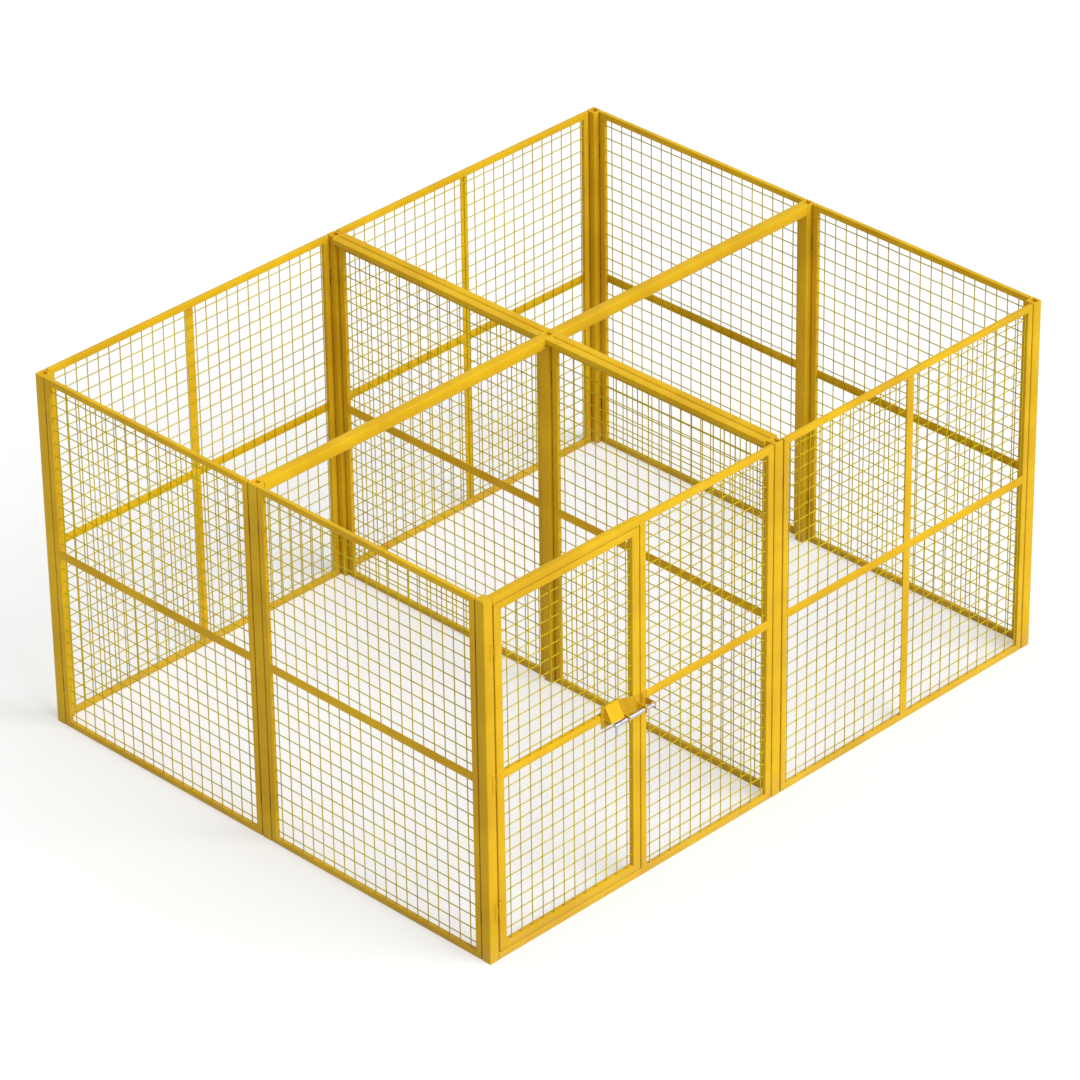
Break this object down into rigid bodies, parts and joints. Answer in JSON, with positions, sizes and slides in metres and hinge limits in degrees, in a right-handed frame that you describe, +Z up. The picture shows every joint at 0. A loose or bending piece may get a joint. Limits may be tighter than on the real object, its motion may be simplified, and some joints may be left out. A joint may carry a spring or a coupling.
{
  "type": "wire mesh partition with door",
  "caption": "Free-standing yellow enclosure of square posts and framed welded mesh panels, with an inner wall, overhead beams and a hinged door closed by a slide bolt.",
  "frame": {"origin": "on the floor, in the middle of the plan box of the whole object with its latch", "axes": "+Z up; +X along the front wall, from the door's end to the plain end; +Y from the front wall to the back wall"},
  "size_m": [4.08, 3.286, 2.1],
  "materials": {
    "frame_coat": "satin yellow powder coat on steel tube",
    "mesh_coat": "satin yellow powder coat on welded steel wire",
    "dark_coat": "dull dark coat",
    "zinc": "bright zinc plate"
  },
  "bodies": {
    "cage": {"post_front_left": "frame_coat", "post_front_middle": "frame_coat", "post_front_right": "frame_coat", "post_middle_left": "frame_coat", "post_centre": "frame_coat", "post_middle_right": "frame_coat", "post_back_left": "frame_coat", "post_back_middle": "frame_coat", "post_back_right": "frame_coat", "beam_left": "frame_coat", "beam_right": "frame_coat", "beam_spigots": "frame_coat", "frame_front_narrow": "frame_coat", "frame_front_wide": "frame_coat", "frame_left_front": "frame_coat", "frame_left_back": "frame_coat", "frame_right_front": "frame_coat", "frame_right_back": "frame_coat", "frame_back_left": "frame_coat", "frame_back_right": "frame_coat", "frame_inner_front": "frame_coat", "frame_inner_back": "frame_coat", "mesh_front_narrow": "mesh_coat", "mesh_front_wide": "mesh_coat", "mesh_left_front": "mesh_coat", "mesh_left_back": "mesh_coat", "mesh_right_front": "mesh_coat", "mesh_right_back": "mesh_coat", "mesh_back_left": "mesh_coat", "mesh_back_right": "mesh_coat", "mesh_inner_front": "mesh_coat", "mesh_inner_back": "mesh_coat", "inner_rails_front": "frame_coat", "inner_rails_back": "frame_coat", "panel_clips": "dark_coat", "clip_bolts": "frame_coat", "clip_nuts": "zinc", "door_header": "frame_coat", "door_sill": "frame_coat", "hinge_leaves_post": "frame_coat", "hinge_pins": "frame_coat", "bolt_keeper": "frame_coat", "keeper_screws": "frame_coat"},
    "door": {"door_frame": "frame_coat", "door_mesh": "mesh_coat", "hinge_leaves_door": "frame_coat", "latch_plate": "frame_coat", "latch_hood": "frame_coat", "bolt_guides": "frame_coat", "latch_screws": "frame_coat"},
    "slide_bolt": {"slide_bolt": "zinc"}
  },
  "joints": [
    {"name": "door_hinge", "type": "hinge", "parent": "cage", "child": "door", "pos_m": [-1.976, -1.583, 1.05], "axis": [0, 0, -1], "range_deg": [0, 110]},
    {"name": "bolt_slide", "type": "slide", "parent": "door", "child": "slide_bolt", "axis": [1, 0, 0], "range_m": [-0.05, 0.035]}
  ]
}
